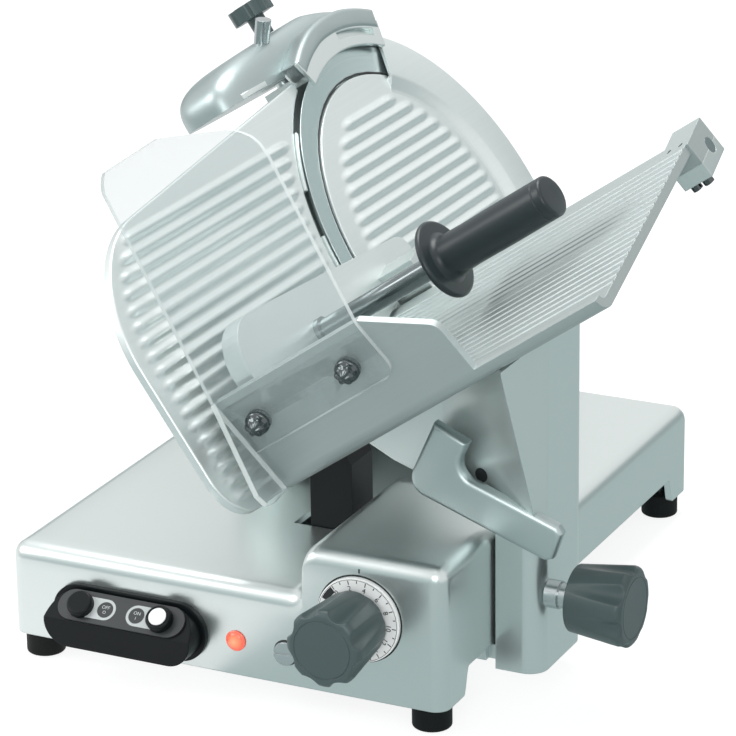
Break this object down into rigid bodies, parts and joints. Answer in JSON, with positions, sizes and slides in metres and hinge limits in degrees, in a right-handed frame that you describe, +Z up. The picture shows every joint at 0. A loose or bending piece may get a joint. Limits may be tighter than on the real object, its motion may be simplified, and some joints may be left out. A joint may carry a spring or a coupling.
{
  "type": "food slicer",
  "caption": "Gravity-feed food slicer: leaning round blade, ridged gauge plate, sliding tray with pusher and clear hand guard, thickness knob, push-button switch and sharpener.",
  "frame": {"origin": "under the middle of the machine's outline, on the table it stands on", "axes": "+Z up, +X to the operator's right towards the carriage's lock knob, +Y away from the operator along the carriage's stroke"},
  "size_m": [0.4627, 0.6, 0.4128],
  "materials": {
    "satin_alu": "satin anodised aluminium",
    "dark_cast": "blackened casting",
    "steel": "ground steel",
    "chrome": "polished",
    "bronze": "bearing bronze",
    "rubber": "black rubber",
    "black_plastic": "black",
    "grey_plastic": "dark grey, fine grain",
    "white_plastic": "white with black figures",
    "lamp_red": "translucent red",
    "clear": "clear acrylic",
    "motor_paint": "painted",
    "stone": "abrasive stone"
  },
  "bodies": {
    "frame": {"base_casting": "satin_alu", "base_plate": "steel", "panel_screws": "steel", "rubber_feet": "rubber", "foot_screws": "steel", "switch_gasket": "rubber", "switch_body": "black_plastic", "switch_plate": "black_plastic", "indicator_lamp": "lamp_red", "adjuster_plug": "steel", "carriage_rod": "chrome", "guide_bar": "steel", "gauge_rod": "chrome", "blade_housing": "satin_alu", "gear_cover": "satin_alu", "motor": "motor_paint", "motor_cover": "satin_alu", "spindle_bearings": "steel", "blade_cover": "satin_alu"},
    "blade_rotor": {"blade": "steel", "spindle": "steel", "worm_wheel": "bronze", "blade_screws": "chrome"},
    "worm_rotor": {"worm_shaft": "steel"},
    "cover_tie": {"tie_rod": "steel", "tie_knob": "grey_plastic"},
    "thickness_control": {"thickness_knob": "grey_plastic", "dial_plate": "white_plastic", "knob_shaft": "steel", "scroll_cam": "bronze"},
    "gauge": {"gauge_plate": "satin_alu", "gauge_arm": "dark_cast", "follower_pin": "steel"},
    "off_key": {"off_button": "black_plastic"},
    "on_key": {"on_button": "black_plastic", "on_cap": "white_plastic"},
    "carriage": {"carriage_bracket": "satin_alu", "carriage_bushes": "bronze", "carriage_post": "satin_alu", "tray": "satin_alu", "clear_guard": "clear", "guard_screws": "chrome", "carriage_handle": "satin_alu", "slide_rod": "chrome", "rod_clamp": "satin_alu", "clamp_screws": "steel", "lock_collar": "steel"},
    "lock": {"lock_knob": "grey_plastic"},
    "pusher_bush": {"pusher_slider": "steel"},
    "pusher": {"pusher_arm": "satin_alu", "pusher_plate": "satin_alu", "pusher_shaft": "chrome", "hand_disc": "grey_plastic", "pusher_handle": "grey_plastic"},
    "sharpener": {"sharpener_cover": "satin_alu", "sharpener_bracket": "satin_alu", "sharpener_stones": "stone"},
    "sharpener_clamp": {"sharpener_knob": "grey_plastic"},
    "stone_key": {"stone_button": "chrome"}
  },
  "joints": [
    {"name": "blade_spin", "type": "hinge", "parent": "frame", "child": "blade_rotor", "pos_m": [-0.0598, 0.14, 0.234], "axis": [0.8192, 0, 0.5736], "continuous": true},
    {"name": "worm_spin", "type": "hinge", "parent": "frame", "child": "worm_rotor", "pos_m": [-0.09232, 0.14, 0.13749], "axis": [0, 1, 0], "continuous": true},
    {"name": "cover_tie_turn", "type": "hinge", "parent": "frame", "child": "cover_tie", "pos_m": [-0.0598, 0.14, 0.234], "axis": [0.8192, 0, 0.5736], "range_deg": [0, 180]},
    {"name": "knob_turn", "type": "hinge", "parent": "frame", "child": "thickness_control", "pos_m": [0.0582, -0.242, 0.078], "axis": [0, -1, 0], "range_deg": [-40.5, 160.5]},
    {"name": "gauge_slide", "type": "slide", "parent": "frame", "child": "gauge", "axis": [-0.8192, 0, -0.5736], "range_m": [-0.003, 0.012]},
    {"name": "off_press", "type": "slide", "parent": "frame", "child": "off_key", "axis": [0, 0.6691, -0.7431], "range_m": [0, 0.003], "stiffness_N_per_m": 500, "springref_m": -0.002},
    {"name": "on_press", "type": "slide", "parent": "frame", "child": "on_key", "axis": [0, 0.6691, -0.7431], "range_m": [0, 0.003], "stiffness_N_per_m": 500, "springref_m": -0.002},
    {"name": "carriage_slide", "type": "slide", "parent": "frame", "child": "carriage", "axis": [0, 1, 0], "range_m": [-0.05, 0.26]},
    {"name": "lock_turn", "type": "hinge", "parent": "carriage", "child": "lock", "pos_m": [0.1572, -0.147, 0.077], "axis": [1, 0, 0], "range_deg": [0, 180]},
    {"name": "pusher_slide", "type": "slide", "parent": "carriage", "child": "pusher_bush", "axis": [0.8192, 0, 0.5736], "range_m": [0, 0.14]},
    {"name": "pusher_swing", "type": "hinge", "parent": "pusher_bush", "child": "pusher", "pos_m": [0.0214, -0.00525, 0.23136], "axis": [-0.8192, 0, -0.5736], "range_deg": [0, 100]},
    {"name": "sharpener_lift", "type": "slide", "parent": "frame", "child": "sharpener", "axis": [-0.5736, 0, 0.8192], "range_m": [0, 0.025]},
    {"name": "sharpener_knob_turn", "type": "hinge", "parent": "sharpener", "child": "sharpener_clamp", "pos_m": [-0.09256, 0.136, 0.21106], "axis": [-0.5736, 0, 0.8192], "range_deg": [0, 180]},
    {"name": "stone_press", "type": "slide", "parent": "sharpener", "child": "stone_key", "axis": [-0.1045, 0, -0.9945], "range_m": [0, 0.004], "stiffness_N_per_m": 500, "springref_m": -0.003}
  ],
  "couplings": [
    {"joint": "worm_spin", "follows": "blade_spin", "ratio": 7},
    {"joint": "knob_turn", "follows": "gauge_slide", "rad_per_m": 232.71}
  ]
}
